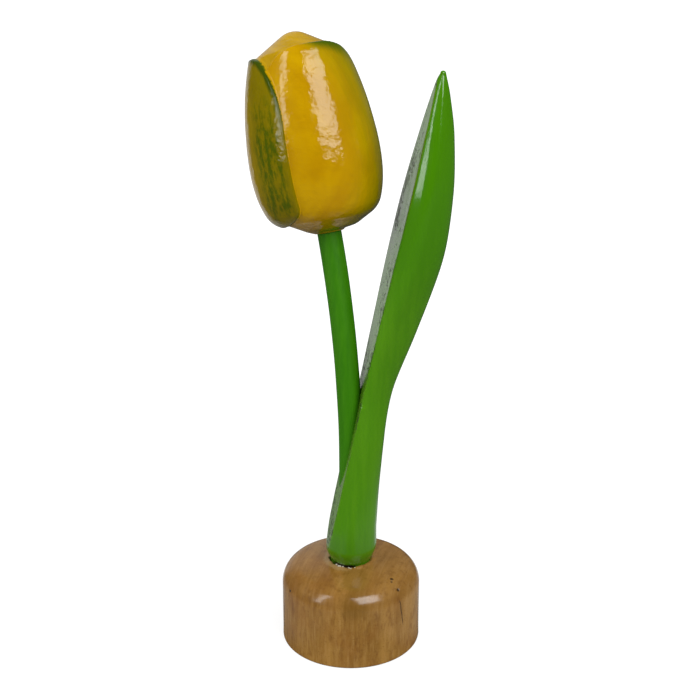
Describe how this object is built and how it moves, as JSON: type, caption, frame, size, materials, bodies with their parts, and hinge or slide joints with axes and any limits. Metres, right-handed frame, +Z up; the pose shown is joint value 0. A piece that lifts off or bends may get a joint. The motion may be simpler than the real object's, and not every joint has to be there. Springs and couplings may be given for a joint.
{
  "type": "wooden tulip",
  "caption": "Painted wooden tulip with a carved closed flower head on a bent stem, a tall lance-shaped leaf and a turned round foot, for standing on a shelf.",
  "frame": {"origin": "centre of the foot's flat underside", "axes": "+Z up through the foot, -Y towards the front, +X towards the side that the leaf leans to"},
  "size_m": [0.0628, 0.0573, 0.1945],
  "materials": {
    "varnished_wood": "turned wood under clear gloss varnish",
    "leaf_paint": "gloss green paint on wood",
    "stem_paint": "gloss green paint on wood",
    "petal_paint": "gloss yellow paint brushed with green, on wood"
  },
  "bodies": {
    "root": {"base": "varnished_wood", "leaf": "leaf_paint", "stem": "stem_paint", "flower_head": "petal_paint"}
  },
  "joints": []
}
